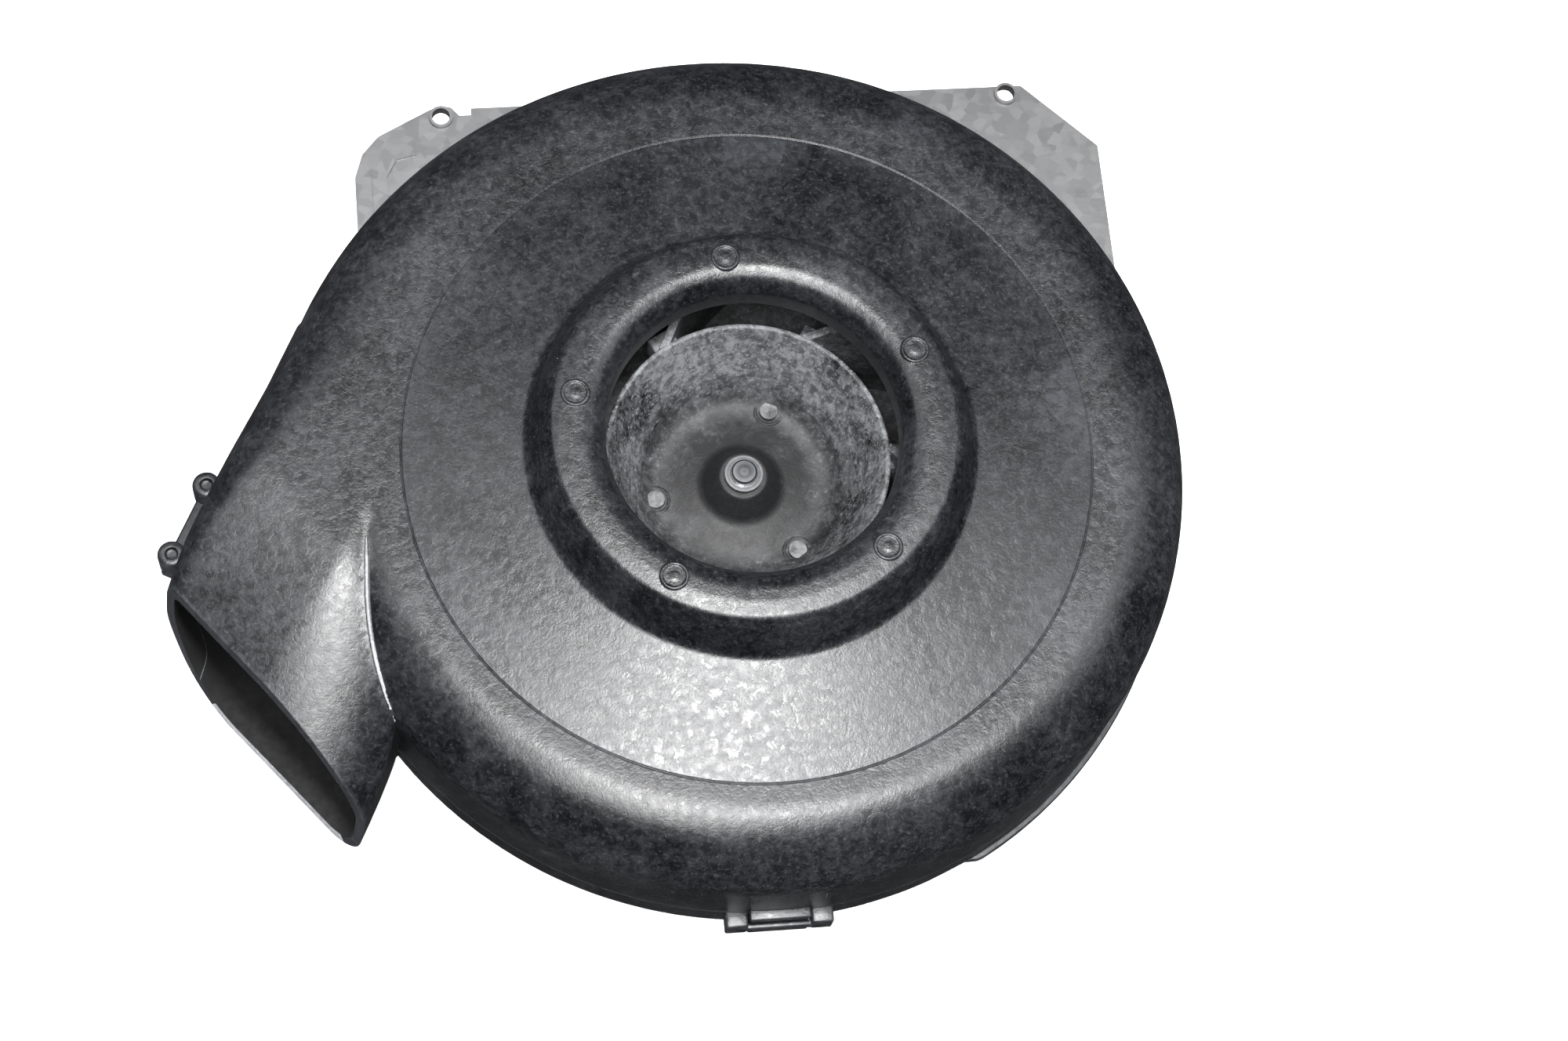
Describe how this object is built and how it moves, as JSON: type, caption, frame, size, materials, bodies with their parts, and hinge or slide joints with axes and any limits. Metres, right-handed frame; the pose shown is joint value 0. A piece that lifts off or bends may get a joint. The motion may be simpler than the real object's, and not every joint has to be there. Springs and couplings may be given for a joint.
{
  "type": "combustion fan",
  "caption": "Radial combustion fan: plastic scroll casing with round top inlet and side outlet duct, closed impeller, steel mounting plate and brushless motor.",
  "frame": {"origin": "centre of the motor end cap's flat underside, on the shaft axis", "axes": "+Z along the shaft axis towards the air inlet; +X and +Y along the edges of the mounting plate, +Y towards its row of screw holes"},
  "size_m": [0.2275, 0.2067, 0.109],
  "materials": {
    "casing_plastic": "semi-gloss glass-filled plastic",
    "impeller_plastic": "semi-gloss glass-filled plastic",
    "seal_rubber": "matt",
    "bright_steel": "zinc plated",
    "bearing_steel": "polished",
    "brass": "satin",
    "galvanised_steel": "galvanised",
    "motor_metal": "zinc plated",
    "lamination_steel": "laminated",
    "nylon": "matt",
    "copper_wire": "enamelled",
    "ferrite": "ground",
    "board": "lacquered",
    "chip_plastic": "matt",
    "capacitor_can": "sleeved"
  },
  "bodies": {
    "housing": {"upper_casing": "casing_plastic", "lower_casing": "casing_plastic", "casing_seal": "seal_rubber", "shaft_seal": "seal_rubber", "rubber_bushes": "seal_rubber", "bush_sleeves": "bright_steel", "casing_screws": "bright_steel", "motor_screws": "bright_steel", "end_cap_screws": "bright_steel", "wave_washer": "bright_steel", "front_outer_ring": "bearing_steel", "rear_outer_ring": "bearing_steel", "connector_pins": "brass", "mounting_plate": "galvanised_steel", "motor_housing": "motor_metal", "motor_end_cap": "motor_metal", "stator_core": "lamination_steel", "upper_insulator": "nylon", "lower_insulator": "nylon", "connector_socket": "nylon", "windings": "copper_wire", "circuit_board": "board", "position_sensors": "chip_plastic", "driver_chip": "chip_plastic", "capacitor": "capacitor_can"},
    "rotor": {"impeller_front": "impeller_plastic", "impeller_back_plate": "impeller_plastic", "impeller_rivets": "bright_steel", "hub_bush": "brass", "retaining_ring": "bright_steel", "motor_shaft": "bright_steel", "rotor_core": "lamination_steel", "rotor_magnet": "ferrite", "front_inner_ring": "bearing_steel", "rear_inner_ring": "bearing_steel", "front_clip": "bright_steel", "rear_clip": "bright_steel"},
    "front_ball_set": {"front_balls": "bearing_steel", "front_cage": "brass"},
    "rear_ball_set": {"rear_balls": "bearing_steel", "rear_cage": "brass"}
  },
  "joints": [
    {"name": "impeller_spin", "type": "hinge", "parent": "housing", "child": "rotor", "pos_m": [0, 0, 0.05], "axis": [0, 0, 1], "continuous": true},
    {"name": "front_balls_spin", "type": "hinge", "parent": "housing", "child": "front_ball_set", "pos_m": [0, 0, 0.0405], "axis": [0, 0, 1], "continuous": true},
    {"name": "rear_balls_spin", "type": "hinge", "parent": "housing", "child": "rear_ball_set", "pos_m": [0, 0, 0.0085], "axis": [0, 0, 1], "continuous": true}
  ],
  "couplings": [
    {"joint": "front_balls_spin", "follows": "impeller_spin", "ratio": 0.37},
    {"joint": "rear_balls_spin", "follows": "impeller_spin", "ratio": 0.37}
  ]
}
